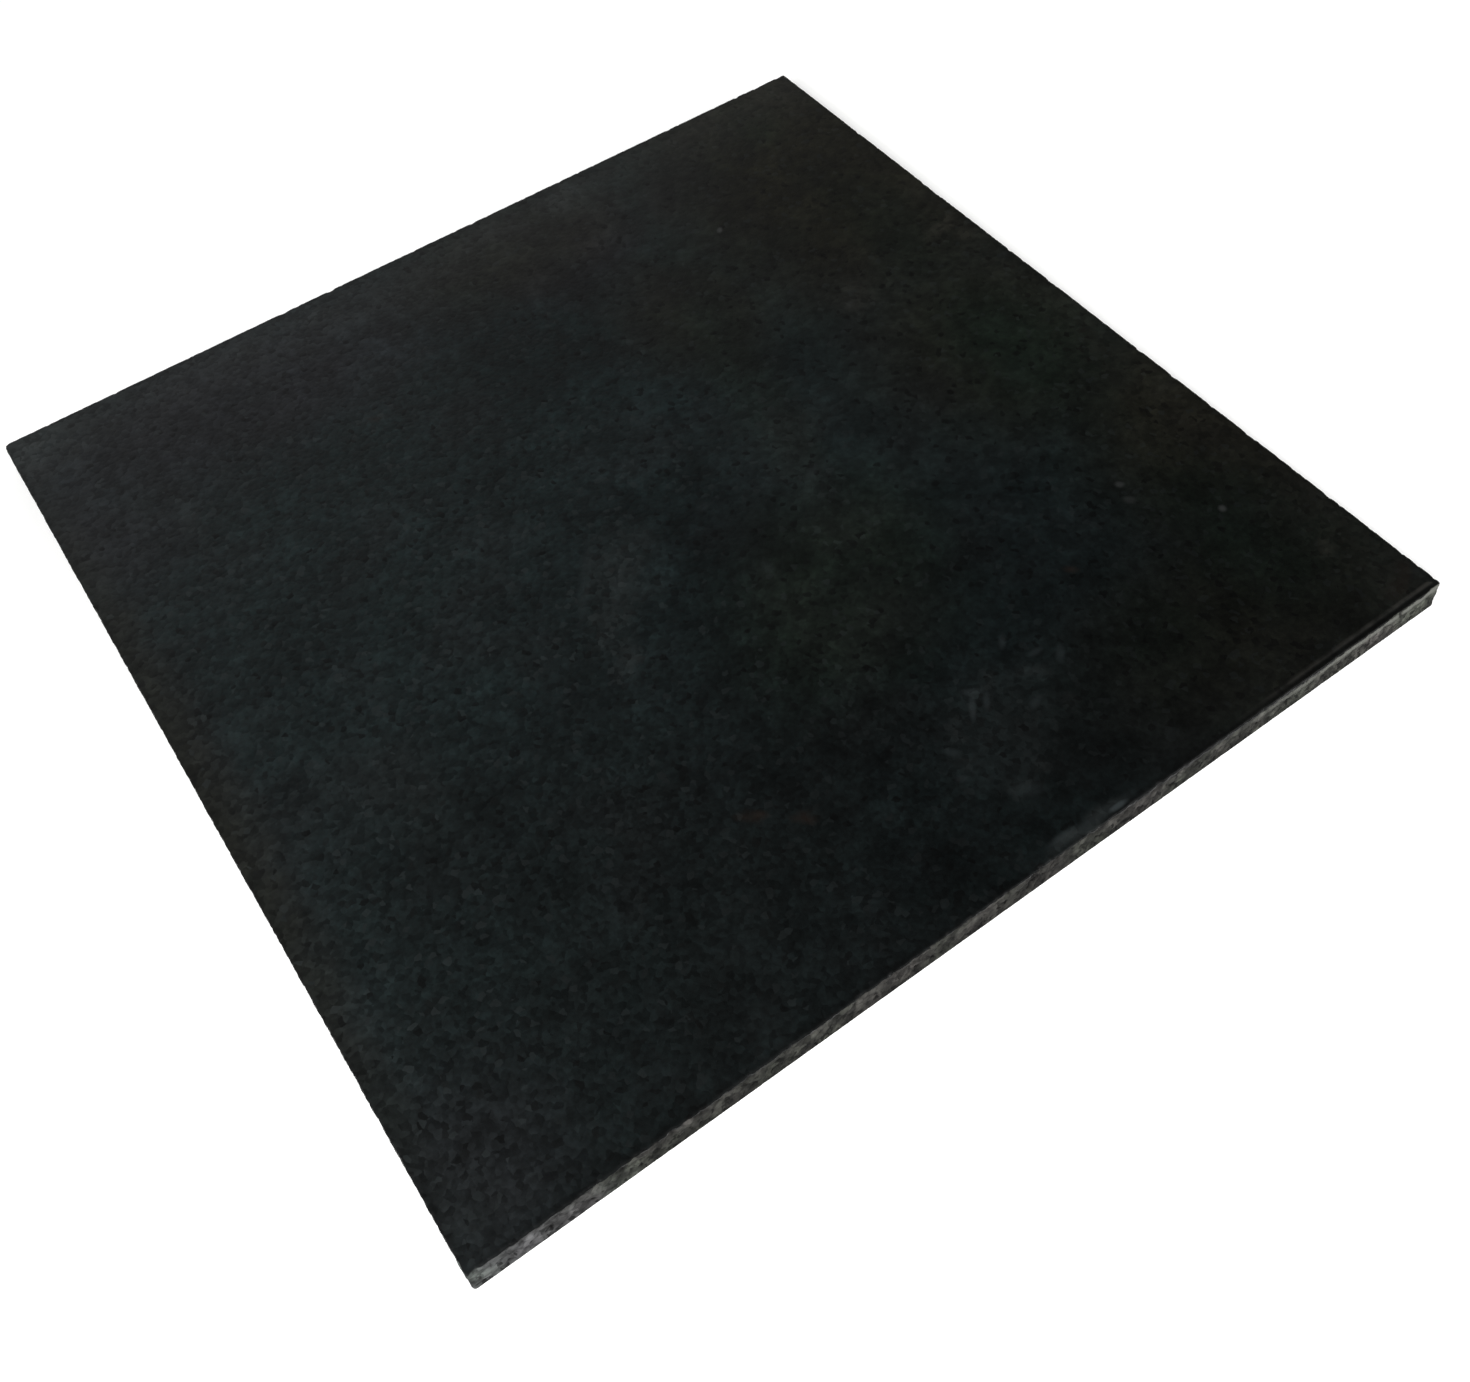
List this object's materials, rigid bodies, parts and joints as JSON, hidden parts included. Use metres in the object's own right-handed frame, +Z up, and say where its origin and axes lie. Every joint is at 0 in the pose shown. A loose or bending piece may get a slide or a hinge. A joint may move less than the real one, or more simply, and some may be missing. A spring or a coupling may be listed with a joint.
{
  "type": "rubber gym floor tile",
  "caption": "Square black rubber floor tile: a solid slab of bonded rubber crumb with a flat wear face, straight butt-joint sides and slightly rounded edges.",
  "frame": {"origin": "middle of the underside, on the floor", "axes": "+Z up through the thickness, out of the wear face; +X and +Y along the two pairs of sides"},
  "size_m": [0.5, 0.5, 0.016],
  "materials": {
    "black_rubber": "matt black bonded rubber crumb, finely pitted, with faint lighter and darker clouds and greyer granular sides"
  },
  "bodies": {
    "root": {"rubber_tile": "black_rubber"}
  },
  "joints": []
}
